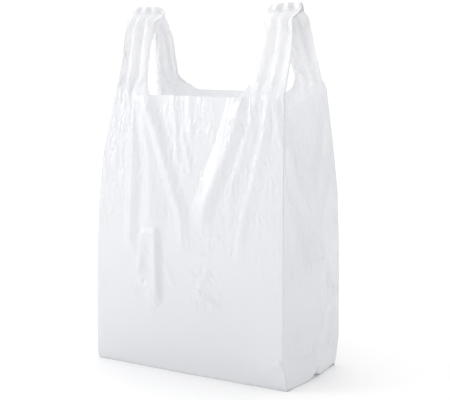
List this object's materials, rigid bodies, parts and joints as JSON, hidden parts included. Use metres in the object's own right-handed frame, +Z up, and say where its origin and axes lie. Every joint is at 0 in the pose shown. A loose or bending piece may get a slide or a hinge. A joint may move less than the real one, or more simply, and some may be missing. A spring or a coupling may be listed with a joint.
{
  "type": "plastic carrier bag",
  "caption": "Thin-film vest-type carrier bag standing open, with side gussets, a die-cut mouth, two loop handles and a folded, sealed bottom.",
  "frame": {"origin": "on the floor under the middle of the bag's overall box, which is the middle of the bottom seal", "axes": "+Z up towards the handles, +X to the right of the front panel, -Y out of the front panel"},
  "size_m": [0.3136, 0.1499, 0.4561],
  "materials": {
    "film": "crinkled white high-density polyethylene film, slightly see-through"
  },
  "bodies": {
    "root": {"carrier_bag": "film"}
  },
  "joints": []
}
